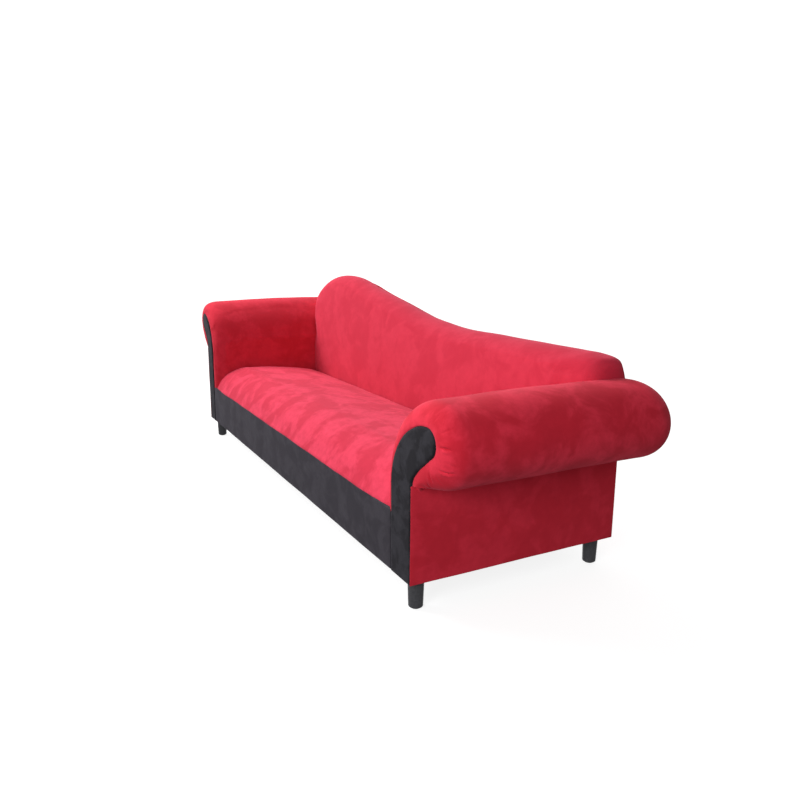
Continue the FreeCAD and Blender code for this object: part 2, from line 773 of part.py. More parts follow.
def seat():
    line = num("dims.seat_line + dims.gap")
    outer = seat_loft(0, num(seat_base)).common(slab_above(line))
    hollow = seat_loft(num("dims.cloth"), num(seat_base))
    keep(solid("seat_cover", outer.cut(hollow)), "seat_cover")
    foam = seat_loft(num("dims.cloth + dims.gap"), num(seat_base))
    keep(solid("seat_foam", foam), "seat_foam")


def slab_above(level):
    length = num("2 * dims.base_length")
    return Part.makeBox(length, length, length, Vector(-length / 2, -length / 2, level))


# The top of the back: left shoulder, peak, slope down to the right, level run
def crest_places():
    peak = -num(half) + num("dims.peak_in")
    drop = num("dims.back_high - dims.back_low")
    bends = num("dims.crest_radius + dims.dip_radius")
    slope = min(math.radians(num("dims.back_slope")), math.acos(1 - bend_share * drop / bends))
    slope_start = peak + num("dims.crest_radius") * math.sin(slope)
    straight_drop = drop - bends * (1 - math.cos(slope))
    slope_end = slope_start + straight_drop / math.tan(slope)
    level_start = slope_end + num("dims.dip_radius") * math.sin(slope)
    return peak, slope_start, slope_end, level_start, slope


def crest(x):
    peak, slope_start, slope_end, level_start, slope = crest_places()
    high = num("dims.back_high")
    low = num("dims.back_low")
    if x < peak:
        radius = num("dims.shoulder_radius")
        return high - radius + math.sqrt(radius ** 2 - (x - peak) ** 2)
    crest_radius = num("dims.crest_radius")
    if x < slope_start:
        return high - crest_radius + math.sqrt(crest_radius ** 2 - (x - peak) ** 2)
    if x < slope_end:
        start = high - crest_radius * (1 - math.cos(slope))
        return start - (x - slope_start) * math.tan(slope)
    dip_radius = num("dims.dip_radius")
    if x < level_start:
        return low + dip_radius - math.sqrt(dip_radius ** 2 - (level_start - x) ** 2)
    return low


# The rounding of the back's ends: how far it draws in at a distance from the end
def end_draw(distance):
    rounding = num("dims.back_end_round")
    inside = min(rounding, distance)
    return rounding - math.sqrt(rounding ** 2 - (rounding - inside) ** 2)


# The upright area below the crest, lowered by drop and closed at the level low
def crest_face(drop, low, y):
    end = num(half)
    rounding = num("dims.back_end_round")
    stops = [-end, -end + rounding, *crest_places()[:4], end - rounding, end]
    straight = (3, 5)
    halfway = 1 - math.sqrt(0.5)
    top = []
    for index, (start, stop) in enumerate(zip(stops, stops[1:])):
        middle = (start + stop) / 2
        if index == 0:
            middle = start + rounding * halfway
        if stop == end:
            middle = stop - rounding * halfway
        stations = (start, stop) if index in straight else (start, middle, stop)
        top.append(tuple((x, crest(x) - end_draw(end - abs(x)) - drop) for x in stations))
    outline = [((-end, low), top[0][0])] + top + [(top[-1][-1], (end, low)), ((end, low), (-end, low))]
    return Part.Face(wire(outline, lambda x, z: Vector(x, y, z)))


def crest_prism(drop, low, start, stop):
    depth = Vector(0, num(stop) - num(start), 0)
    return crest_face(drop, low, num(start)).extrude(depth)


# Back sections across the sofa: upright below the crease, full front, rounded top, flat rear
def back_section(x, inset, rear_y, low):
    end = num(half) - inset
    drawn = end_draw(end - abs(x))
    top = crest(max(-num(half), min(num(half), x))) - inset - drawn
    shoulder = top - num("dims.back_top_rise")
    foot = num(crease) + inset + drawn
    foot_top = num("dims.seat_crease_height")
    lean = math.tan(math.radians(num("dims.back_rake")))
    shoulder_y = foot + (shoulder - foot_top) * lean
    front_middle = ((foot + shoulder_y) / 2 - num("dims.back_bulge"), (foot_top + shoulder) / 2)
    curves = [
        ((foot, low), (foot, foot_top)),
        ((foot, foot_top), front_middle, (shoulder_y, shoulder)),
        ((shoulder_y, shoulder), ((shoulder_y + rear_y) / 2, top), (rear_y, shoulder)),
        ((rear_y, shoulder), (rear_y, low)),
        ((rear_y, low), (foot, low)),
    ]
    return wire(curves, lambda y, z: Vector(x, y, z))


def back_loft(inset, rear_y, low):
    end = num(half) - inset
    rounding = num("dims.back_end_round")
    shares = [1 - math.cos(math.radians(90 * step / end_steps)) for step in range(end_steps + 1)]
    left = [-end + rounding * share for share in shares]
    right = [end - rounding * share for share in shares]
    pitch = (right[-1] - left[-1]) / back_steps
    middle = [left[-1] + pitch * step for step in range(back_steps + 1)]
    runs = [[back_section(x, inset, rear_y, low) for x in places] for places in (left, middle, right)]
    return lofted(runs[0]).fuse([lofted(runs[1]), lofted(runs[2])]).removeSplitter()


# The room that an arm takes, grown by the clearance, for cutting what stands beside it
def arm_room(name, side):
    curves = roll(arm_height(name), 1, -num("dims.gap"), num("dims.roll_tuck"))
    tuck = curves[-1][-1]
    foot = (0, num("dims.leg_height"))
    inside = (curves[0][0][0], num("dims.leg_height"))
    curves[0] = (inside, curves[0][1])
    closed = curves + [(tuck, foot), (foot, inside)]
    depth = Vector(0, num("2 * dims.base_depth"), 0)
    return Part.Face(wire(closed, on_arm(side, num(front)))).extrude(depth)


def back_soft():
    low = num(seat_base)
    rear_y = num(f"{frame_rear} - dims.gap")
    rooms = [arm_room(name, side) for name, side in sides.items()]
    outer = back_loft(0, rear_y, low)
    hollow = back_loft(num("dims.cloth"), rear_y, low)
    keep(solid("back_cover", outer.cut([hollow] + rooms)), "back_cover")
    filling = back_loft(num("dims.cloth + dims.gap"), rear_y, low).cut(rooms)
    split = num(f"{webbing_front} - dims.gap")
    length = num("2 * dims.base_length")
    front_half = Part.makeBox(length, length, length, Vector(-length / 2, split - length, 0))
    keep(solid("back_foam", filling.common(front_half)), "back_foam")
    padding_low = num("dims.top_padding")
    core = crest_prism(padding_low, 0, front, f"{rear} + dims.base_depth")
    keep(solid("back_top_padding", filling.cut([front_half, core])), "back_top_padding")


def back_frame():
    core_drop = num("dims.top_padding + dims.gap")
    core = solid("back_core", crest_prism(core_drop, 0, front, f"{rear} + dims.base_depth"))
    lowered = core_drop + num("dims.top_board_height")
    under = solid("under_top_board", crest_prism(lowered, 0, front, f"{rear} + dims.base_depth"))
    frame_half = f"({seat_half} - dims.gap)"
    strip = across("top_board_strip", frame_half, rear_rail_front, "0",
                   "dims.rail_thickness", "dims.back_high")
    shaped = doc.addObject("Part::Common", "top_board_shaped")
    shaped.Base = strip
    shaped.Tool = core
    top_board = cut("top_board_band", shaped, under)
    rail = across("rear_rail_plain", board_half, rear_rail_front, frame_low,
                  "dims.rail_thickness", "dims.rail_height")
    post_places = {
        "left_end": f"(-{frame_half} + dims.post_width / 2)",
        "left_middle": "(-dims.mid_post_spacing / 2)",
        "right_middle": "(dims.mid_post_spacing / 2)",
        "right_end": f"({frame_half} - dims.post_width / 2)",
    }
    posts = {}
    screws = []
    holes = []
    for name, middle in post_places.items():
        low_corner = (f"{middle} - dims.post_width / 2", post_front, frame_low)
        stick_size = ("dims.post_width", "dims.post_depth", "dims.back_high")
        stick = box(f"post_stick_{name}", low_corner, stick_size)
        posts[name] = doc.addObject("Part::Common", f"post_{name}")
        posts[name].Base = stick
        posts[name].Tool = core
        board_middle = crest(num(middle)) - lowered + num("dims.top_board_height / 2")
        levels = {
            "low": f"({frame_low} + dims.rail_height / 3)",
            "high": f"({frame_low} + dims.rail_height * 2 / 3)",
            "top": str(board_middle),
        }
        for level, z in levels.items():
            screws.append(screw(f"screw_{name}_{level}", (middle, post_front, z), "0"))
            holes.append(screw(f"screw_hole_{name}_{level}", (middle, post_front, z), "dims.fit_play"))
    drilled = group("back_screw_holes", holes)
    keep(cut("rear_rail", rail, drilled), "rear_rail")
    for name, post in posts.items():
        keep(cut(f"back_post_{name}", post, drilled), f"back_post_{name}")
    keep(cut("back_top_board", top_board, drilled), "back_top_board")
    keep(group("frame_screws", screws), "frame_screws")
    tack_rails = []
    centres = list(post_places.values())
    for index, (start, stop) in enumerate(zip(centres, centres[1:])):
        low_corner = (f"{start} + dims.post_width / 2", post_front, "dims.tack_rail_low")
        size = (f"{stop} - {start} - dims.post_width", "dims.post_depth", "dims.tack_rail_height")
        tack_rails.append(box(f"tack_rail_{index}", low_corner, size))
    keep(group("back_tack_rails", tack_rails), "back_tack_rails")
    straps = []
    lowest = "(dims.tack_rail_low + dims.tack_rail_height + dims.webbing_width)"
    strap_room = f"(dims.back_low - dims.top_padding - {lowest})"
    for index in range(strap_count):
        level = f"{lowest} + {strap_room} * {index} / {strap_count}"
        straps.append(across(f"strap_{index}", frame_half, webbing_front, level,
                             "dims.webbing", "dims.webbing_width"))
    keep(group("back_webbing", straps), "back_webbing")


# A countersunk screw through a post into the board or rail behind it, pointing to the rear
def screw(name, spot, play):
    shank = num(f"dims.screw_diameter / 2 + {play}")
    head = num(f"dims.screw_head_diameter / 2 + {play}")
    length = num(f"dims.screw_length + {play}")
    profile = polygon((0, 0), (head, 0), (shank, head - shank), (shank, length), (0, length))
    return turned(name, profile, spot, [], Rotation(Vector(1, 0, 0), -90))


# The outside back: card and cloth cut to the back's outline with the roll ends
def outside_back():
    layers = {
        "outside_back_liner": (frame_rear, f"({frame_rear} + dims.card)"),
        "outside_back_cover": (f"({frame_rear} + dims.card)", rear),
    }
    for name, (start, stop) in layers.items():
        sheet_shape = crest_prism(num("dims.back_top_rise"), num("dims.leg_height"), start, stop)
        discs = []
        for arm, side in sides.items():
            axis_z = arm_height(arm) - num("dims.roll_radius")
            centre = Vector(side * num(f"{half} + dims.roll_out"), num(start), axis_z)
            depth = num(stop) - num(start)
            discs.append(Part.makeCylinder(num("dims.roll_radius"), depth, centre, Vector(0, 1, 0)))
        keep(solid(name, sheet_shape.fuse(discs).removeSplitter()), name)


base_frame()
arms()
legs()
dust_cover()
front_border()
suspension()
seat()
back_frame()
back_soft()
outside_back()
doc.recompute()

faults = [item.Name for item in doc.Objects if {"Invalid", "Error"} & set(item.State)]
faults += [item.Label for item in pieces if item.Shape.isNull() or not item.Shape.isValid()]
if faults:
    raise RuntimeError(f"faulty pieces: {faults}")

os.makedirs("parts", exist_ok=True)
for piece in pieces:
    piece.Shape.exportStep(f"parts/{piece.Label}.step")
    print(f"{piece.Label}: {len(piece.Shape.Solids)} solids, {piece.Shape.Volume / 1000:.1f} cm3")
print(f"{len(pieces)} pieces")
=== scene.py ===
import json
import math

import bpy
import numpy as np
from mathutils import Matrix, Vector, noise
from mathutils.bvhtree import BVHTree


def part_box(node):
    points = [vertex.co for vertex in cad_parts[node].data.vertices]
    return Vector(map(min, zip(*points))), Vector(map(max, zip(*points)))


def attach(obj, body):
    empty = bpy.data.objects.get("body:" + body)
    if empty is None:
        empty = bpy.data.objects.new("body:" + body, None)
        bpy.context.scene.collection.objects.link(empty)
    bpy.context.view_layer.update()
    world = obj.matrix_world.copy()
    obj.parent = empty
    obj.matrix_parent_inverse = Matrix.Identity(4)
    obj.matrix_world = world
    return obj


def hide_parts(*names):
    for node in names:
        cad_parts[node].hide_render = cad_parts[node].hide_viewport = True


# A three-seater sofa in red suede cloth with black facings and a black front border.
# All lengths in the settings are millimetres, and mm turns them into metres.
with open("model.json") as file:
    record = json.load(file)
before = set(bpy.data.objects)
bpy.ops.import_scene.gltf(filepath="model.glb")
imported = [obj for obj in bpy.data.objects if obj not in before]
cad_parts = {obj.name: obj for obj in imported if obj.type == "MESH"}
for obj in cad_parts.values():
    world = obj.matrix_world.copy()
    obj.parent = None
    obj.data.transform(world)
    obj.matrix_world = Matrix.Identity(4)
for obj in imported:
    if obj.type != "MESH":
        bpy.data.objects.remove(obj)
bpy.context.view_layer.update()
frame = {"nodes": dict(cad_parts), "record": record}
nodes = frame["nodes"]
scene = bpy.context.scene
mm = 0.001
print("frame loaded:", len(nodes), "nodes")

sides = {"left": -1, "right": 1}
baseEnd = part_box("right_side_cover")[1].x
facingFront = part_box("right_facing_cover")[0].y
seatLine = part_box("front_border_cover")[1].z
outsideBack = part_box("outside_back_cover")[1].y


# Selects these objects alone and makes the last one active
def only(*objects):
    bpy.ops.object.select_all(action="DESELECT")
    for item in objects:
        item.select_set(True)
    bpy.context.view_layer.objects.active = objects[-1]


def readPoints(piece):
    points = np.empty(len(piece.data.vertices) * 3, np.float32)
    piece.data.vertices.foreach_get("co", points)
    return points.reshape(-1, 3).astype(float)


def writePoints(piece, points):
    piece.data.vertices.foreach_set("co", points.astype(np.float32).ravel())
    piece.data.update()


def readNormals(piece):
    normals = np.empty(len(piece.data.vertices) * 3, np.float32)
    piece.data.vertex_normals.foreach_get("vector", normals)
    return normals.reshape(-1, 3).astype(float)


def applyModifier(piece, kind, **settings):
    only(piece)
    modifier = piece.modifiers.new(kind.title(), kind)
    for name, value in settings.items():
        setattr(modifier, name, value)
    bpy.ops.object.modifier_apply(modifier=modifier.name)


def mergePoints(piece, distance=0.01 * mm):
    only(piece)
    bpy.ops.object.mode_set(mode="EDIT")
    bpy.ops.mesh.select_all(action="SELECT")
    bpy.ops.mesh.remove_doubles(threshold=distance)
    bpy.ops.mesh.normals_make_consistent(inside=False)
    bpy.ops.object.mode_set(mode="OBJECT")


# A new piece that starts as a copy of CAD solids, joined into one mesh
def copyNodes(name, *sources):
    copies = []
    for source in sources:
        piece = bpy.data.objects.new(name, nodes[source].data.copy())
        scene.collection.objects.link(piece)
        piece.data.materials.clear()
        copies.append(piece)
    only(*copies)
    if len(copies) > 1:
        bpy.ops.object.join()
    piece = bpy.context.object
    piece.name = name
    mergePoints(piece)
    return piece


# A new piece from grids of points: each grid is rows of columns, and equal points are merged
def meshFromGrids(name, grids):
    points = []
    faces = []
    for grid in grids:
        first = len(points)
        rows, columns = grid.shape[:2]
        points.extend(map(tuple, grid.reshape(-1, 3)))
        for row in range(rows - 1):
            for column in range(columns - 1):
                corner = first + row * columns + column
                faces.append((corner, corner + 1, corner + columns + 1, corner + columns))
    mesh = bpy.data.meshes.new(name)
    mesh.from_pydata(points, [], faces)
    piece = bpy.data.objects.new(name, mesh)
    scene.collection.objects.link(piece)
    mergePoints(piece)
    return piece


def smoothShade(piece):
    only(piece)
    bpy.ops.object.shade_smooth()


# Cuts a piece into cells of about this size along these axes of its box
def cutCells(piece, low, high, axes, cell):
    only(piece)
    bpy.ops.object.mode_set(mode="EDIT")
    for axis in axes:
        direction = [0, 0, 0]
        direction[axis] = 1
        length = high[axis] - low[axis]
        cuts = int(length / (cell * mm))
        for step in range(1, cuts):
            spot = list(low)
            spot[axis] = low[axis] + length * step / cuts
            bpy.ops.mesh.select_all(action="SELECT")
            bpy.ops.mesh.bisect(plane_co=spot, plane_no=direction)
    bpy.ops.object.mode_set(mode="OBJECT")


def coverTree(cover):
    mesh = nodes[cover].data
    return BVHTree.FromPolygons([v.co for v in mesh.vertices], [tuple(p.vertices) for p in mesh.polygons])


# Which points of a piece lie within reach of a CAD cover
def nearCover(piece, cover, reach):
    tree = coverTree(cover)
    return np.array([tree.find_nearest(v.co, reach * mm)[0] is not None for v in piece.data.vertices])


# Moves points out along their normals to the outermost face of a CAD cover within reach
def wrapTo(piece, cover, reach):
    tree = coverTree(cover)
    points = readPoints(piece)
    for index, normal in enumerate(readNormals(piece)):
        outward = Vector(normal)
        hit = tree.ray_cast(Vector(points[index]) + outward * reach * mm, -outward, 2 * reach * mm)[0]
        if hit is not None:
            points[index] = hit
    writePoints(piece, points)


# Upholstery cloth on a firm filling: it gives little and bends stiffly
clothLook = {"quality": 5, "mass": 0.3, "stretch": 15, "bend": 2, "lastFrame": 14}


# Blows a cover up over its filling: tacked points stay, and no point moves further than the cap
def stuff(piece, tacked, pressure, cap):
    look = clothLook
    before = readPoints(piece)
    group = piece.vertex_groups.new(name="tacked")
    group.add([int(index) for index in np.flatnonzero(tacked)], 1.0, "REPLACE")
    only(piece)
    cloth = piece.modifiers.new("Cloth", "CLOTH")
    cloth.settings.quality = look["quality"]
    cloth.settings.mass = look["mass"]
    cloth.settings.tension_stiffness = look["stretch"]
    cloth.settings.compression_stiffness = look["stretch"]
    cloth.settings.bending_stiffness = look["bend"]
    cloth.settings.use_pressure = True
    cloth.settings.uniform_pressure_force = pressure
    cloth.settings.effector_weights.gravity = 0
    cloth.settings.vertex_group_mass = group.name
    cloth.point_cache.frame_end = look["lastFrame"]
    for number in range(1, look["lastFrame"] + 1):
        scene.frame_set(number)
    bpy.ops.object.modifier_apply(modifier=cloth.name)
    scene.frame_set(1)
    piece.vertex_groups.clear()
    moved = readPoints(piece) - before
    length = np.linalg.norm(moved, axis=1, keepdims=True)
    moved *= np.minimum(1, cap * mm / np.maximum(length, 1e-9))
    writePoints(piece, before + moved)
    print(f"{piece.name}: stuffed, {np.abs(moved).max() / mm:.1f} mm at most")


# Low, wide unevenness of hand-stretched cloth, along the normals
def ripple(piece, size, depth, seed):
    points = readPoints(piece)
    shift = Vector((seed * 3.1, seed * 1.7, seed * 2.3))
    rise = np.array([noise.noise(Vector(point) / (size * mm) + shift) for point in points])
    writePoints(piece, points + readNormals(piece) * rise[:, None] * depth * mm)


def smoothStep(low, high, value):
    share = np.clip((value - low) / (high - low), 0, 1)
    return share * share * (3 - 2 * share)


# Materials

def colour(text):
    channels = [int(text[start:start + 2], 16) / 255 for start in (1, 3, 5)]
    linear = [c / 12.92 if c <= 0.04045 else ((c + 0.055) / 1.055) ** 2.4 for c in channels]
    return (*linear, 1.0)


def addNode(tree, kind, inputs=None, **settings):
    node = tree.nodes.new(kind)
    for name, value in settings.items():
        setattr(node, name, value)
    for name, value in (inputs or {}).items():
        if isinstance(value, bpy.types.NodeSocket):
            tree.links.new(value, node.inputs[name])
        else:
            node.inputs[name].default_value = value
    return node


def perMetre(size):
    return 1 / (size * mm)


def newMaterial(name):
    material = bpy.data.materials.new(name)
    material.use_nodes = True
    tree = material.node_tree
    shader = tree.nodes["Principled BSDF"]
    place = addNode(tree, "ShaderNodeTexCoord").outputs["Object"]
    return material, tree, shader, place


# Brushed polyester suede: short nap, so patches lie lighter or darker where a hand stroked it
def suede(name, look):
    material, tree, shader, place = newMaterial(name)
    strokes = addNode(tree, "ShaderNodeTexNoise", {
        "Vector": place, "Scale": perMetre(look["strokeSize"]), "Detail": 8.0,
        "Roughness": 0.58, "Distortion": 0.5,
    })
    strokeEdge = addNode(tree, "ShaderNodeMapRange", {
        "Value": strokes.outputs["Fac"], "From Min": 0.42, "From Max": 0.58,
    }, interpolation_type="SMOOTHSTEP")
    mottle = addNode(tree, "ShaderNodeTexNoise", {
        "Vector": place, "Scale": perMetre(look["mottleSize"]), "Detail": 4.0, "Roughness": 0.7,
    })
    stroked = addNode(tree, "ShaderNodeMix", {
        "Factor": strokeEdge.outputs["Result"], "A": colour(look["napDown"]), "B": colour(look["napUp"]),
    }, data_type="RGBA")
    mottleShare = addNode(tree, "ShaderNodeMapRange", {
        "Value": mottle.outputs["Fac"], "From Min": 0.35, "From Max": 0.75,
        "To Min": 0.0, "To Max": look["mottleShare"],
    })
    mottled = addNode(tree, "ShaderNodeMix", {
        "Factor": mottleShare.outputs["Result"], "A": stroked.outputs["Result"], "B": colour(look["shade"]),
    }, data_type="RGBA")
    tree.links.new(mottled.outputs["Result"], shader.inputs["Base Color"])
    # Nap fibres are about 0.5 mm: drawn at 2.5 mm, so that they show
    fibres = addNode(tree, "ShaderNodeTexNoise", {
        "Vector": place, "Scale": perMetre(2.5), "Detail": 3.0, "Roughness": 0.6,
    })
    bump = addNode(tree, "ShaderNodeBump", {
        "Strength": 0.25, "Distance": 0.6 * mm, "Height": fibres.outputs["Fac"],
    })
    tree.links.new(bump.outputs["Normal"], shader.inputs["Normal"])
    roughness = addNode(tree, "ShaderNodeMapRange", {
        "Value": mottle.outputs["Fac"], "To Min": 0.84, "To Max": 0.98,
    })
    tree.links.new(roughness.outputs["Result"], shader.inputs["Roughness"])
    shader.inputs["Specular IOR Level"].default_value = 0.15
    shader.inputs["Sheen Weight"].default_value = look["sheen"]
    shader.inputs["Sheen Roughness"].default_value = 0.45
    shader.inputs["Sheen Tint"].default_value = colour(look["sheenTint"])
    return material


# A plain material whose colour and roughness vary with noise of a real size
def grained(name, look):
    material, tree, shader, place = newMaterial(name)
    stretched = addNode(tree, "ShaderNodeMapping", {"Vector": place, "Scale": look.get("stretch", (1, 1, 1))})
    grain = addNode(tree, "ShaderNodeTexNoise", {
        "Vector": stretched.outputs["Vector"], "Scale": perMetre(look["size"]), "Detail": 6.0,
        "Roughness": 0.65, "Distortion": look.get("distortion", 0.3),
    })
    share = addNode(tree, "ShaderNodeMapRange", {
        "Value": grain.outputs["Fac"], "From Min": 0.3, "From Max": 0.7,
    })
    mixed = addNode(tree, "ShaderNodeMix", {
        "Factor": share.outputs["Result"], "A": colour(look["dark"]), "B": colour(look["light"]),
    }, data_type="RGBA")
    tree.links.new(mixed.outputs["Result"], shader.inputs["Base Color"])
    roughness = addNode(tree, "ShaderNodeMapRange", {
        "Value": grain.outputs["Fac"], "To Min": look["rough"] - 0.08, "To Max": look["rough"] + 0.08,
    })
    tree.links.new(roughness.outputs["Result"], shader.inputs["Roughness"])
    bump = addNode(tree, "ShaderNodeBump", {
        "Strength": look.get("bump", 0.2), "Distance": look.get("relief", 0.3) * mm,
        "Height": grain.outputs["Fac"],
    })
    tree.links.new(bump.outputs["Normal"], shader.inputs["Normal"])
    shader.inputs["Metallic"].default_value = look.get("metal", 0.0)
    return material


redLook = {
    "napDown": "#C42133", "napUp": "#DC3045", "shade": "#B21C2C", "sheenTint": "#FF8CA6",
    "strokeSize": 120, "mottleSize": 32, "mottleShare": 0.5, "sheen": 0.16,
}
# The left arm and the flat panels are stroked least, and their cloth is a copy darkened as painted shade
calmShadedCloth = {**redLook, "napDown": "#C32334", "napUp": "#D02B3E", "shade": "#B21D2E"}
# The seat's cloth is a copy made lighter and pinker as painted top light, and the back's cloth has a more
# even nap, and a colour darker than the seat's and pinker than the arms' as painted light and shade
halfLitBackCloth = {**redLook, "napDown": "#C1283E", "napUp": "#CB3046", "shade": "#B8253A", "sheen": 0.24}
litSeatCloth = {**redLook, "napDown": "#C62C43", "napUp": "#DD3D57", "shade": "#B6283B", "sheen": 0.24}
borderLook = {
    "napDown": "#2D2A30", "napUp": "#38353B", "shade": "#272429", "sheenTint": "#B4ACBA",
    "strokeSize": 85, "mottleSize": 30, "mottleShare": 0.45, "sheen": 0.14,
}
facingCloth = {**borderLook, "napDown": "#18171B", "napUp": "#2B2A2F", "shade": "#111114", "strokeSize": 55}
redSuede = suede("red suede cloth", redLook)
calmShadedSuede = suede("red suede cloth, hardly stroked, with painted shade", calmShadedCloth)
evenHalfLitSuede = suede("red suede cloth with even nap and painted half light", halfLitBackCloth)
litSeatSuede = suede("red suede cloth with painted top light", litSeatCloth)
blackSuede = suede("black suede cloth", borderLook)
facingSuede = suede("black suede cloth with its nap down", facingCloth)
slotLooks = {
    "foam": ("polyurethane foam", {"dark": "#CDBB86", "light": "#E6D8AC", "size": 4, "rough": 0.9}),
    "card": ("upholstery card", {"dark": "#8A6F4E", "light": "#A98C66", "size": 9, "rough": 0.85}),
    "spring_steel": ("oiled spring steel", {
        "dark": "#4B4B4E", "light": "#77777B", "size": 6, "rough": 0.42, "metal": 1.0, "bump": 0.08,
    }),
    "zinc_steel": ("zinc plated steel", {
        "dark": "#A3A6A8", "light": "#C9CBCC", "size": 5, "rough": 0.34, "metal": 1.0, "bump": 0.08,
    }),
    "webbing": ("woven elastic webbing", {"dark": "#161618", "light": "#39393D", "size": 3, "rough": 0.8}),
    "hessian": ("hessian", {"dark": "#8A6E45", "light": "#B3966A", "size": 3, "rough": 0.9, "bump": 0.5}),
    "dust_cloth": ("non-woven dust cloth", {"dark": "#131314", "light": "#242426", "size": 5, "rough": 0.88}),
    "glide_plastic": ("moulded polyethylene", {
        "dark": "#1E1E20", "light": "#2C2C2F", "size": 4, "rough": 0.45,
    }),
    "leg_black": ("satin black moulded plastic", {
        "dark": "#38383B", "light": "#4A4A4E", "size": 7, "rough": 0.36, "bump": 0.06,
    }),
    "plywood": ("birch plywood", {
        "dark": "#B08A5B", "light": "#D9B98A", "size": 18, "stretch": (0.3, 1, 0.3), "rough": 0.7,
    }),
    "timber": ("sawn pine", {
        "dark": "#B98A54", "light": "#DDB57E", "size": 14, "stretch": (0.12, 1, 1), "distortion": 1.0,
        "rough": 0.72,
    }),
}
slotMaterials = {slot: grained(name, look) for slot, (name, look) in slotLooks.items()}
slotMaterials.update(red_suede=redSuede, black_suede=blackSuede)
for row in frame["record"]["subparts"]:
    cadNode = nodes[row["node"]]
    cadNode.data.materials.clear()
    cadNode.data.materials.append(slotMaterials[row["material_slot"]])
print("materials made:", len(slotMaterials))


# Puts a finished piece on the sofa's only body, in place of CAD nodes
def fit(piece, slot, *replaced, material=None):
    piece.data.materials.clear()
    piece.data.materials.append(material or slotMaterials[slot])
    smoothShade(piece)
    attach(piece, "root")
    if replaced:
        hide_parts(*replaced)
    print(f"{piece.name}: {len(piece.data.polygons)} faces")


# A stuffed pad from CAD foam: remeshed, drawn out to its cover, blown up and a little uneven
def makePad(name, look, sources, cover, seed):
    piece = copyNodes(name, *sources)
    applyModifier(piece, "REMESH", mode="VOXEL", voxel_size=look["voxel"] * mm)
    wrapTo(piece, cover, look["wrap"])
    tacked = ~nearCover(piece, cover, look["shownWithin"])
    if "tackedBelow" in look:
        tacked |= readPoints(piece)[:, 2] < seatLine + look["tackedBelow"] * mm
    stuff(piece, tacked, look["pressure"], look["cap"])
    applyModifier(piece, "SUBSURF", levels=1, render_levels=1)
    ripple(piece, look["rippleSize"], look["ripple"], seed)
    return piece


# The seat: one long crowned pad, tacked below its front edge and beside the arms and the back.
# A pair is the start and the end of a blend.
seatLook = {
    "voxel": 12, "wrap": 14, "shownWithin": 4, "tackedBelow": 8, "pressure": 4, "cap": 4,
    "ripple": 2.0, "rippleSize": 150, "frontPlay": 2, "cornerAlong": (880, 990), "cornerDeep": (-370, -250),
    "cornerLeft": 45, "cornerRight": 24, "creaseFall": 14, "creaseWidth": 24, "creaseAbove": (300, 340),
    "endSlope": 1.2,
}


def makeSeat():
    look = seatLook
    piece = makePad("seat_pad", look, ["seat_foam"], "seat_cover", seed=1)
    low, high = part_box("seat_cover")
    points = readPoints(piece)
    points[:, 0] = np.clip(points[:, 0], low.x, high.x)
    points[:, 1] = np.clip(points[:, 1], low.y - look["frontPlay"] * mm, high.y)
    # The top falls into the creases at the back and the arms
    x = points[:, 0] / mm
    edge = np.minimum((high.y - points[:, 1]) / mm, (high.x / mm - np.abs(x)) * look["endSlope"])
    near = 1 - np.clip(edge / look["creaseWidth"], 0, 1)
    points[:, 2] -= look["creaseFall"] * near ** 2 * smoothStep(*look["creaseAbove"], points[:, 2] / mm) * mm
    # The front corners reach out to the facings
    nearFront = 1 - smoothStep(*look["cornerDeep"], points[:, 1] / mm)
    reach = np.where(x < 0, look["cornerLeft"], look["cornerRight"])
    points[:, 0] += np.sign(x) * reach * nearFront * smoothStep(*look["cornerAlong"], np.abs(x)) * mm
    writePoints(piece, points)
    # The seat's cloth is lighter and pinker as painted top light
    fit(piece, "red_suede", "seat_cover", "seat_foam", material=litSeatSuede)


# The inside back: one pad over the top of the frame, humped at the left.
# Along is a blend along the sofa, above one that rises with height, and below one that ends with it.
backLook = {
    "voxel": 12, "wrap": 16, "shownWithin": 4, "pressure": 4, "cap": 3,
    "ripple": 2.0, "rippleSize": 170,
    "crestFall": 6, "crestAbove": (650, 800),
    "leftFall": 30, "leftFallAlong": (-1140, -1070), "leftFallAbove": (680, 740),
    "slopeFall": 9, "slopeFrom": (-720, -450), "slopeTo": (0, 260), "slopeAbove": (600, 720),
    "leftLean": 22, "leanAlong": (-1130, -1000), "leanAbove": (480, 700),
    "rightBulge": 43, "bulgeAlong": (1020, 1135), "bulgeBelow": (697, 716),
    "rightReach": 95, "reachAlong": (1000, 1090), "reachBelow": (640, 690), "rightAbove": (560, 620),
}


# The crest and the slope settle, the left end falls and leans back, and the right end swells over the arm
def shapeBackEnds(points):
    look = backLook
    x, z = points[:, 0] / mm, points[:, 2] / mm
    aboveArm = smoothStep(*look["rightAbove"], z)
    bulge = smoothStep(*look["bulgeAlong"], x) * (1 - smoothStep(*look["bulgeBelow"], z)) * aboveArm
    reach = smoothStep(*look["reachAlong"], x) * (1 - smoothStep(*look["reachBelow"], z)) * aboveArm
    fall = look["crestFall"] * smoothStep(*look["crestAbove"], z)
    leftEnd = (1 - smoothStep(*look["leftFallAlong"], x)) * smoothStep(*look["leftFallAbove"], z)
    onSlope = smoothStep(*look["slopeFrom"], x) * (1 - smoothStep(*look["slopeTo"], x))
    fall += look["leftFall"] * leftEnd
    fall += look["slopeFall"] * onSlope * smoothStep(*look["slopeAbove"], z)
    lean = look["leftLean"] * (1 - smoothStep(*look["leanAlong"], x)) * smoothStep(*look["leanAbove"], z)
    points[:, 0] += look["rightBulge"] * bulge * mm
    points[:, 1] += lean * mm
    points[:, 2] -= (fall + look["rightReach"] * reach) * mm


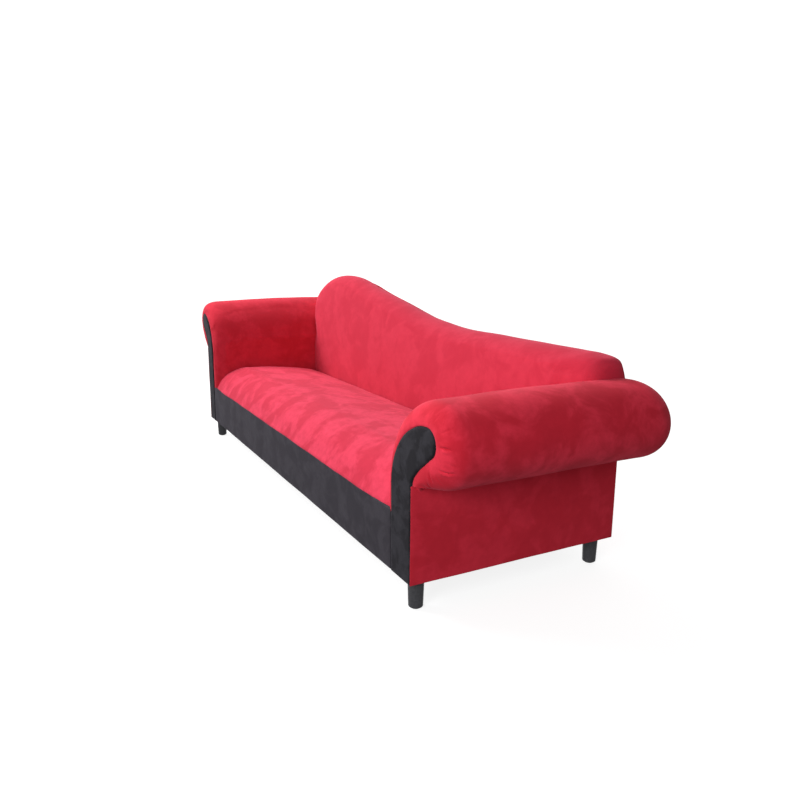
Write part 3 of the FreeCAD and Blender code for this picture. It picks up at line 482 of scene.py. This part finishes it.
def makeBack():
    piece = makePad("back_pad", backLook, ["back_foam", "back_top_padding"], "back_cover", seed=2)
    points = readPoints(piece)
    shapeBackEnds(points)
    points[:, 1] = np.minimum(points[:, 1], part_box("outside_back_liner")[0].y)
    writePoints(piece, points)
    # The back's cloth is pinker than the arms' and darker than the seat's as painted light and shade
    fit(piece, "red_suede", "back_cover", "back_foam", "back_top_padding", "back_top_board",
        material=evenHalfLitSuede)


# The arms: a skin from the rim round the facing over the roll to its domed rear end.
# u runs outwards from the base end, and shares of the front rounding run from the rim to the full roll.
armLook = {
    "innerReach": 150, "rollOut": 68, "rollRadius": 124, "rollTuck": 138,
    "facingReach": 123, "facingDrop": 74, "bulbOut": 83, "bulbRadius": 45,
    "neckAngle": 55, "neckRadius": 40, "neckSide": -2, "rimPad": 2.5,
    "innerEdge": 120, "bulbEdge": 118, "bulbLift": 9, "bulbLiftRun": 50, "scrollMargin": 40,
    "settle": 5, "settleRise": 2.5,
    "rimBack": 4, "frontDepth": 64, "frontPower": 2.2, "frontFall": 5, "frontFallLength": 330,
    "rearTaper": 55, "rearOverhang": 68, "rearPower": 2.6, "rearDrop": 14, "rearGap": 1, "belowSeat": 6,
    "insideColumns": 22, "shoulderColumns": 50, "rollColumns": 150, "domeColumns": 60,
    "frontRows": 30, "middleRows": 64, "taperRows": 10, "domeRows": 16,
    "bulbPoints": 60, "neckPoints": 30, "bulbShare": 0.57, "neckShare": 0.81,
    "tuckDrop": 25, "tuckIn": 9, "tuckBack": 26, "tuckFade": 0.05, "tuckPad": 0.5, "tuckRows": (7, 2),
    "skin": 6, "pressure": 3, "cap": 3, "ripple": 1.6, "rippleSize": 110,
}
# The left arm's cloth is the copy darkened as painted shade
# The left arm's facing is narrower
armSides = {
    "left": {**armLook, "innerEdge": 98, "bulbEdge": 84, "frontDepth": 90, "frontPower": 2.7,
             "frontFall": 10, "settle": 0, "cloth": calmShadedSuede},
    "right": {**armLook, "cloth": redSuede},
}
# Pleats: share along the roll from its top, first and last share of the front rounding, depth, slant
pleats = [
    (0.10, 0.30, 0.55, 0.8, 0), (0.24, 0.28, 0.58, 1.2, 0), (0.37, 0.18, 0.42, 8.0, 0),
    (0.47, 0.35, 0.60, 1.2, 0), (0.575, 0.30, 0.58, 7.5, -0.2), (0.665, 0.30, 0.55, 1.4, 0),
    (0.75, 0.14, 0.32, 7.0, 0), (0.80, 0.34, 0.58, 7.0, 0),
]
pleatLook = {"width": 2.2, "swell": 0.22, "swellAt": 8, "swellWidth": 5, "fade": 0.08, "firstAngle": 95}


def arcPoints(centre, radius, start, end, count):
    turns = np.radians(np.linspace(start, end, count))
    return np.stack([centre[0] + radius * np.cos(turns), centre[1] + radius * np.sin(turns)], axis=1)


# Points along a line at these shares of its length
def alongLine(line, shares):
    steps = np.linalg.norm(np.diff(line, axis=0), axis=1)
    along = np.concatenate([[0], np.cumsum(steps)])
    return np.stack([np.interp(shares * along[-1], along, line[:, axis]) for axis in (0, 1)], axis=1)


def insideAndShoulder(look, low, centre, radius):
    shoulder = arcPoints(centre, radius, 180, 90, look["shoulderColumns"])
    inside = np.linspace((shoulder[0, 0], low), shoulder[0], look["insideColumns"], endpoint=False)
    return np.concatenate([inside, shoulder])


# Draws the CAD scroll of a facing to this arm's width, with a smaller bulb
def drawScroll(look, u, z, height):
    wide = (-look["facingReach"], look["neckSide"], look["bulbOut"] + look["bulbRadius"])
    drawn = (-look["innerEdge"], look["neckSide"], look["bulbEdge"])
    beyond = look["scrollMargin"]  # Just outside the scroll, points only shift
    wide = (wide[0] - beyond, *wide, wide[2] + beyond)
    drawn = (drawn[0] - beyond, *drawn, drawn[2] + beyond)
    below = np.clip((height - look["facingDrop"] - z) / (2 * look["bulbRadius"]), 0, 1)
    outside = smoothStep(look["neckSide"], look["neckSide"] + look["bulbLiftRun"], u)
    return np.interp(u, wide, drawn), z + look["bulbLift"] * below * outside


# The rim follows the facing's scroll: bulb, straight and neck
def rimLine(look, height, low, pad):
    top = height - look["facingDrop"]
    bulb = (look["bulbOut"], top - look["bulbRadius"])
    reach = look["bulbOut"] + look["facingReach"]
    fall = math.radians(look["neckAngle"])
    bulbEnd = (bulb[0] + look["bulbRadius"] * math.cos(fall), bulb[1] - look["bulbRadius"] * math.sin(fall))
    neckU = look["neckSide"] + look["neckRadius"]
    run = (bulbEnd[0] - neckU + look["neckRadius"] * math.cos(fall)) / math.sin(fall)
    neck = (neckU, bulbEnd[1] - run * math.cos(fall) - look["neckRadius"] * math.sin(fall))
    bulbLine = arcPoints(bulb, look["bulbRadius"] + pad, 90, -look["neckAngle"], look["bulbPoints"])
    neckLine = arcPoints(neck, look["neckRadius"] - pad, 180 - look["neckAngle"], 180, look["neckPoints"])
    tuck = neckLine[-1] - (look["tuckIn"], look["tuckDrop"])
    shares = np.linspace(0, 1, look["rollColumns"])
    bulbPart = alongLine(bulbLine, shares[shares <= look["bulbShare"]] / look["bulbShare"])
    onNeck = (shares > look["bulbShare"]) & (shares <= look["neckShare"])
    neckRun = (shares[onNeck] - look["bulbShare"]) / (look["neckShare"] - look["bulbShare"])
    neckPart = alongLine(np.concatenate([bulbLine[-1:], neckLine]), neckRun)
    tuckRun = (shares[shares > look["neckShare"]] - look["neckShare"]) / (1 - look["neckShare"])
    tuckPart = alongLine(np.array((neckLine[-1], tuck)), tuckRun)
    inner = insideAndShoulder(look, low, (bulb[0], top - reach), reach + pad)
    line = np.concatenate([inner, bulbPart[1:], neckPart, tuckPart])
    return np.stack(drawScroll(look, line[:, 0], line[:, 1], height), axis=1)


def rollLine(look, height, low):
    reach = look["innerReach"] + look["rollOut"]
    centre = (look["rollOut"], height - look["rollRadius"])
    roll = arcPoints(centre, look["rollRadius"], 90, -look["rollTuck"], look["rollColumns"])
    return np.concatenate([insideAndShoulder(look, low, (look["rollOut"], height - reach), reach), roll[1:]])


def makeArm(name, side):
    look = armSides[name]
    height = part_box(f"{name}_arm_cover")[1].z / mm
    low = seatLine / mm - look["belowSeat"]
    front = facingFront / mm
    rear = outsideBack / mm
    rim = rimLine(look, height, low, look["rimPad"])
    tuckedRim = rimLine(look, height, low, look["tuckPad"])
    roll = rollLine(look, height, low)
    rimY = front + look["rimBack"]
    deep, shallow = look["tuckRows"]
    rows = [(rimY + deep, tuckedRim, 0), (rimY + shallow, (tuckedRim + rim) / 2, 0)]
    power = 2 / look["frontPower"]
    for turn in np.radians(np.linspace(0, 90, look["frontRows"])):
        share = math.sin(turn) ** power
        y = rimY + look["frontDepth"] * (1 - abs(math.cos(turn)) ** power)
        rows.append((y, rim + (roll - rim) * share, share))
    taperStart = rear - look["rearTaper"]
    for y in np.linspace(rimY + look["frontDepth"], taperStart, look["middleRows"])[1:]:
        rows.append((y, roll, 1))
    # The rear end: an ellipse from the taper's start to the crown
    endDepth = look["rearTaper"] + look["rearOverhang"]
    firstRoll = look["insideColumns"] + look["shoulderColumns"] - 1
    centre = np.array((look["rollOut"], height - look["rollRadius"]))
    lift = np.clip((np.arange(len(roll)) - look["insideColumns"]) / (look["shoulderColumns"] - 1), 0, 1)

    def endRadius(y):
        share = min(1, max(0, (y - taperStart) / endDepth))
        return look["rollRadius"] * (1 - share ** look["rearPower"]) ** (1 / look["rearPower"])

    def endCentre(y):
        return centre - (0, look["rearDrop"] * smoothStep(taperStart, taperStart + endDepth, y))

    taperEnd = rear - look["rearGap"]
    for y in np.linspace(taperStart, taperEnd, look["taperRows"])[1:]:
        drop = look["rollRadius"] - endRadius(y) + centre[1] - endCentre(y)[1]
        line = roll.copy()
        line[:firstRoll, 1] -= drop * lift[:firstRoll] ** 2
        line[firstRoll:] = endCentre(y) + (roll[firstRoll:] - centre) * endRadius(y) / look["rollRadius"]
        rows.append((y, line, 1))
    skin = np.array([[(side * (baseEnd / mm + u), y, z) for u, z in line] for y, line, share in rows])
    alongRoll = np.linspace(0, 1, look["rollColumns"])[1:]
    tucked = np.clip((alongRoll - look["neckShare"]) / look["tuckFade"], 0, 1)
    unrolled = np.array([1 - share for y, line, share in rows])
    skin[:, firstRoll + 1:, 1] += look["tuckBack"] * np.outer(unrolled, tucked)

    # The top of the roll settles, most at the front, but the rim stays at the facing
    def settle(grid, share):
        fall = look["settle"] + smoothStep(0, look["frontFallLength"], -grid[:, :, 1]) * look["frontFall"]
        grid[:, :, 2] -= share * fall * np.clip((grid[:, :, 2] - low) / (height - low), 0, 1) ** 2

    settle(skin, np.minimum(1, look["settleRise"] * (1 - unrolled))[:, None])
    angles = np.concatenate([
        np.linspace(90, -look["rollTuck"], look["rollColumns"]),
        np.linspace(-look["rollTuck"], -270, look["domeColumns"])[1:],
    ])
    circle = np.stack([np.cos(np.radians(angles)), np.sin(np.radians(angles))], axis=1)
    dome = []
    firstTurn = math.acos((taperEnd - taperStart) / endDepth)
    for turn in np.linspace(firstTurn, 0, look["domeRows"]):
        y = taperStart + endDepth * math.cos(turn)
        line = endCentre(y) + circle * endRadius(y)
        dome.append([(side * (baseEnd / mm + u), y, z) for u, z in line])
    dome = np.array(dome)
    settle(dome, 1)
    piece = meshFromGrids(f"{name}_arm_pad", [skin * mm, dome * mm])
    stuff(piece, boundaryPoints(piece), look["pressure"], look["cap"])
    ripple(piece, look["rippleSize"], look["ripple"], 3 + side)
    pleat(piece, look, side, height, rimY)
    applyModifier(piece, "SOLIDIFY", thickness=look["skin"] * mm, offset=-1)
    fit(piece, "red_suede", f"{name}_arm_cover", f"{name}_arm_foam", f"{name}_arm_front_board",
        f"{name}_roll_end_cover", f"{name}_roll_end_pad", material=look["cloth"])


def boundaryPoints(piece):
    uses = {}
    for polygon in piece.data.polygons:
        for edge in polygon.edge_keys:
            uses[edge] = uses.get(edge, 0) + 1
    edgeOfCloth = np.zeros(len(piece.data.vertices), bool)
    for edge, count in uses.items():
        if count == 1:
            edgeOfCloth[list(edge)] = True
    return edgeOfCloth


# Short gathers in the front rounding, pressed in along the normals round the bulb
def pleat(piece, look, side, height, rimY):
    points = readPoints(piece) / mm
    normals = readNormals(piece)
    u = side * points[:, 0] - baseEnd / mm
    ahead = np.clip(1 - (points[:, 1] - rimY) / look["frontDepth"], 0, 1)
    front = np.degrees(np.arccos(ahead ** (look["frontPower"] / 2))) / 90
    rollCentre = (look["rollOut"], height - look["rollRadius"])
    bulbCentre = drawScroll(look, look["bulbOut"], height - look["facingDrop"] - look["bulbRadius"], height)
    blend = np.sin(np.radians(front * 90)) ** (2 / look["frontPower"])
    centreU = bulbCentre[0] + (rollCentre[0] - bulbCentre[0]) * blend
    centreZ = bulbCentre[1] + (rollCentre[1] - bulbCentre[1]) * blend
    angle = np.degrees(np.arctan2(points[:, 2] - centreZ, u - centreU))
    angle = np.where(angle > pleatLook["firstAngle"], angle - 360, angle)
    along = (90 - angle) / (90 + look["rollTuck"])
    radius = np.hypot(points[:, 2] - centreZ, u - centreU)
    arc = math.radians(90 + look["rollTuck"]) * radius
    fade = pleatLook["fade"]
    sink = np.zeros(len(points))
    for place, first, last, depth, slant in pleats:
        apart = (along - place - slant * (front - first)) * arc
        run = smoothStep(first - fade, first + fade, front)
        run *= 1 - smoothStep(last - fade, last + fade, front)
        sink += depth * run * np.exp(-(apart / pleatLook["width"]) ** 2)
        beside = (np.abs(apart) - pleatLook["swellAt"]) / pleatLook["swellWidth"]
        sink -= pleatLook["swell"] * depth * run * np.exp(-beside ** 2)
    writePoints(piece, (points - normals * sink[:, None]) * mm)


# The facings: black padded boards with rounded edges
facingLook = {"voxel": 4, "smooth": 0.5, "smoothings": 5, "grow": 0.8, "ripple": 0.8, "rippleSize": 60}


def makeFacing(name):
    look = facingLook
    piece = copyNodes(f"{name}_facing_pad", f"{name}_facing_cover", f"{name}_facing_board")
    applyModifier(piece, "REMESH", mode="VOXEL", voxel_size=look["voxel"] * mm)
    applyModifier(piece, "SMOOTH", factor=look["smooth"], iterations=look["smoothings"])
    points = readPoints(piece) + readNormals(piece) * look["grow"] * mm
    side = sides[name]
    u = (side * points[:, 0] - baseEnd) / mm
    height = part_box(f"{name}_arm_cover")[1].z / mm
    u, z = drawScroll(armSides[name], u, points[:, 2] / mm, height)
    points[:, 0] = side * (baseEnd + u * mm)
    points[:, 2] = z * mm
    writePoints(piece, points)
    ripple(piece, look["rippleSize"], look["ripple"], seed=7)
    fit(piece, "black_suede", f"{name}_facing_cover", f"{name}_facing_board", material=facingSuede)


# A flat cloth panel from a box: a cube cut into a grid, with soft edges and a little unevenness
def makePanel(name, low, high, look, seed):
    bpy.ops.object.select_all(action="DESELECT")
    bpy.ops.mesh.primitive_cube_add(size=1, location=(low + high) / 2)
    piece = bpy.context.object
    piece.name = name
    piece.scale = high - low
    bpy.ops.object.transform_apply(location=True, rotation=True, scale=True)
    applyModifier(piece, "BEVEL", width=look["edge"] * mm, segments=3, limit_method="NONE")
    cutCells(piece, low, high, (0, 1, 2), look["cell"])
    ripple(piece, look["rippleSize"], look["ripple"], seed)
    return piece


# The outside arm panels: their top edge runs up behind the roll, but not beside the facing
panelLook = {
    "cell": 14, "edge": 0.9, "ripple": 1.0, "rippleSize": 130, "sideLift": 30, "liftAlong": (8, 45),
}


def makeSidePanel(name, side):
    look = panelLook
    low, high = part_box(f"{name}_side_cover")
    top = high.z
    high.z += look["sideLift"] * mm
    piece = makePanel(f"{name}_side_panel", low, high, look, seed=11 + side)
    points = readPoints(piece)
    behind = smoothStep(*look["liftAlong"], (points[:, 1] - low.y) / mm)
    points[:, 2] = np.minimum(points[:, 2], top + (high.z - top) * behind)
    writePoints(piece, points)
    # The side panels take the cloth darkened as painted shade
    fit(piece, "red_suede", f"{name}_side_cover", material=calmShadedSuede)


# The front border: black cloth over thin padding, longer at the left, where the facing is narrower
borderShape = {"cell": 14, "edge": 2.5, "ripple": 1.0, "rippleSize": 130, "leftMore": 25}


def makeBorder():
    look = borderShape
    low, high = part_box("front_border_cover")
    high.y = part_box("front_border_padding")[1].y
    low.x -= look["leftMore"] * mm
    piece = makePanel("front_border_pad", low, high, look, seed=15)
    fit(piece, "black_suede", "front_border_cover", "front_border_padding")


# The outside back: cloth stretched over card, cut to the back's outline.
# The end values draw it in behind the rolls, and the lap values set its top edge on the back pad.
outsideLook = {
    "cell": 20, "ripple": 1.0, "rippleSize": 190, "wrap": 3.4, "creaseAngle": 40,
    "endShrink": 0.84, "endAlong": (-20, 50), "endAbove": (-160, -110), "endOver": 1,
    "lap": 18, "lapMost": 110, "lapReach": (-90, -10), "lapEnd": (-30, 10), "belowCrest": 29,
    "rearBand": 18, "stations": 160, "stationReach": 13, "evenOver": 7,
    "flatWidth": 2664, "flatHeight": 749, "areaShare": 0.75,
}


# How far the panel's top edge rises at each point, so that it laps the lower rear edge of the back pad
def lapRise(points):
    look = outsideLook
    pad = readPoints(bpy.data.objects["back_pad"])
    rear = pad[pad[:, 1] > outsideBack - look["rearBand"] * mm]
    stations = np.linspace(-baseEnd, baseEnd, look["stations"])
    noRear = 2  # Metres, higher than any point of the sofa

    def heights(cloth, x):
        return cloth[np.abs(cloth[:, 0] - x) < look["stationReach"] * mm, 2]

    tops = np.array([heights(points, x).max() for x in stations])
    crests = np.array([heights(pad, x).max(initial=0) for x in stations])
    lows = np.array([heights(rear, x).min(initial=noRear) for x in stations])
    most = crests - look["belowCrest"] * mm
    lapped = np.maximum(tops, np.minimum(lows + look["lap"] * mm, most))
    wanted = np.where(tops > most, most, lapped)
    limit = look["lapMost"] * mm
    rise = np.where(lows < noRear, np.clip(wanted - tops, -limit, limit), 0)
    count = look["evenOver"]
    rise = np.convolve(np.pad(rise, count // 2, mode="edge"), np.full(count, 1 / count), mode="valid")
    inside = 1 - smoothStep(*look["lapEnd"], (np.abs(points[:, 0]) - baseEnd) / mm)
    near = smoothStep(*look["lapReach"], (points[:, 2] - np.interp(points[:, 0], stations, tops)) / mm)
    return np.interp(points[:, 0], stations, rise) * inside * near


def makeOutsideBack():
    look = outsideLook
    piece = copyNodes("outside_back_panel", "outside_back_cover")
    low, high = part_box("outside_back_cover")
    cutCells(piece, low, high, (0, 2), look["cell"])
    points = readPoints(piece)
    middle = (low.y + high.y) / 2
    spots = [Vector((x, 0, z)) / (look["rippleSize"] * mm) for x, y, z in points]
    rise = np.array([noise.noise(spot) for spot in spots])
    points[:, 1] += np.where(points[:, 1] > middle, rise * look["ripple"], -look["wrap"]) * mm
    points[:, 2] += lapRise(points)
    # Behind the arm rolls the panel is drawn in, so that the rolls' rounded ends hide it
    for name, side in sides.items():
        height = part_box(f"{name}_arm_cover")[1].z
        axis = np.array((side * (baseEnd + armLook["rollOut"] * mm), height - armLook["rollRadius"] * mm))
        drawn = smoothStep(*look["endAlong"], (side * points[:, 0] - baseEnd) / mm) * (1 - look["endShrink"])
        drawn *= smoothStep(*look["endAbove"], (points[:, 2] - axis[1]) / mm)
        drawn = np.where(points[:, 2] < height + look["endOver"] * mm, drawn, 0)[:, None]
        points[:, [0, 2]] -= (points[:, [0, 2]] - axis) * drawn
    writePoints(piece, points)
    # The outside back takes the cloth darkened as painted shade
    fit(piece, "red_suede", "outside_back_cover", "outside_back_liner", material=calmShadedSuede)
    only(piece)
    bpy.ops.object.shade_smooth_by_angle(angle=math.radians(look["creaseAngle"]))


dustLook = {"cell": 40, "edge": 0.3, "ripple": 1.0, "rippleSize": 130}


def makeDustCover():
    low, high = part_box("dust_cover")
    piece = makePanel("dust_sheet", low, high, dustLook, seed=21)
    fit(piece, "dust_cloth", "dust_cover")


makeSeat()
makeBack()
for armName, armSide in sides.items():
    makeArm(armName, armSide)
    makeFacing(armName)
for armName, armSide in sides.items():
    makeSidePanel(armName, armSide)
makeBorder()
makeOutsideBack()
makeDustCover()

# Camera at the photograph's place: degrees, metres and the focal length in pixels of an 800-pixel frame
cameraLook = {
    "eye": (2.72278, -1.29254, 1.01471), "azimuth": 61.637, "elevation": 12.028, "roll": 0.423,
    "focalPixels": 704.43, "framePixels": 800, "sensor": 36,
}


def makeCamera():
    look = cameraLook
    azimuth = math.radians(look["azimuth"])
    elevation = math.radians(look["elevation"])
    roll = math.radians(look["roll"])
    level = math.cos(elevation)
    back = Vector((math.sin(azimuth) * level, -math.cos(azimuth) * level, math.sin(elevation)))
    flatRight = (-back).cross(Vector((0, 0, 1))).normalized()
    flatUp = flatRight.cross(-back)
    right = flatRight * math.cos(roll) + flatUp * math.sin(roll)
    up = flatUp * math.cos(roll) - flatRight * math.sin(roll)
    lens = bpy.data.cameras.new("camera")
    lens.sensor_width = look["sensor"]
    lens.lens = look["focalPixels"] / look["framePixels"] * look["sensor"]
    camera = bpy.data.objects.new("camera", lens)
    scene.collection.objects.link(camera)
    turn = Matrix((right, up, back)).transposed()
    camera.matrix_world = Matrix.Translation(look["eye"]) @ turn.to_4x4()
    scene.camera = camera


# A pale floor, a bright backdrop behind the sofa and a large soft light in front of it
studioLook = {
    "floorSize": 60, "floorColour": "#8C8C8C", "floorRough": 0.9, "floorGlow": 0.85,
    "world": 0.25, "sky": 1.0,
    "keyPlace": (-3.4, -3.7, 3.6), "keyAim": (0.1, -0.1, 0.4), "keySize": 3.0, "keyPower": 242,
    "topPlace": (-2.2, -0.9, 3.8), "topAim": (0, 0, 0), "topSize": 3.0, "topPower": 100,
    "fillPlace": (2.4, -2.3, 1.3), "fillAim": (1.25, -0.3, 0.4), "fillSize": 1.2, "fillPower": 44,
    "backdropPlace": (-9.0, 6.0, 4.0), "backdropSize": 24, "backdropGlow": 1.0,
}


def areaLight(name, place, aim, size, power):
    light = bpy.data.lights.new(name, "AREA")
    light.shape = "DISK"
    light.size = size
    light.energy = power
    lamp = bpy.data.objects.new(name, light)
    scene.collection.objects.link(lamp)
    lamp.location = place
    lamp.rotation_euler = (Vector(aim) - Vector(place)).to_track_quat("-Z", "Y").to_euler()


def makeStudio():
    look = studioLook
    bpy.ops.object.select_all(action="DESELECT")
    bpy.ops.mesh.primitive_plane_add(size=look["floorSize"])
    floor = bpy.context.object
    floor.name = "floor"
    floorMaterial, tree, shader, place = newMaterial("matt pale floor")
    white = (1, 1, 1, 1)
    shader.inputs["Base Color"].default_value = colour(look["floorColour"])
    shader.inputs["Roughness"].default_value = look["floorRough"]
    shader.inputs["Emission Color"].default_value = white
    shader.inputs["Emission Strength"].default_value = look["floorGlow"]
    floor.data.materials.append(floorMaterial)
    floor.visible_diffuse = False
    floor.visible_glossy = False
    bpy.ops.object.select_all(action="DESELECT")
    bpy.ops.mesh.primitive_plane_add(size=look["backdropSize"], location=look["backdropPlace"])
    backdrop = bpy.context.object
    backdrop.name = "backdrop"
    away = Vector(look["backdropPlace"])
    away.z = 0
    backdrop.rotation_euler = (-away).to_track_quat("Z", "Y").to_euler()
    glow, tree, shader, place = newMaterial("glowing backdrop")
    shader.inputs["Emission Color"].default_value = white
    shader.inputs["Emission Strength"].default_value = look["backdropGlow"]
    backdrop.data.materials.append(glow)
    world = bpy.data.worlds.new("studio")
    world.use_nodes = True
    tree = world.node_tree
    ambient = tree.nodes["Background"]
    ambient.inputs["Color"].default_value = white
    ambient.inputs["Strength"].default_value = look["world"]
    # The sky itself shows plain white, brighter than the light that it gives
    sky = addNode(tree, "ShaderNodeBackground", {"Color": white, "Strength": look["sky"]})
    seen = addNode(tree, "ShaderNodeLightPath").outputs["Is Camera Ray"]
    mixed = addNode(tree, "ShaderNodeMixShader", {0: seen, 1: ambient.outputs[0], 2: sky.outputs[0]})
    tree.links.new(mixed.outputs[0], tree.nodes["World Output"].inputs["Surface"])
    scene.world = world
    for name in ("key", "fill", "top"):
        areaLight(name, *(look[name + part] for part in ("Place", "Aim", "Size", "Power")))
    scene.view_settings.view_transform = "Standard"


makeCamera()
makeStudio()
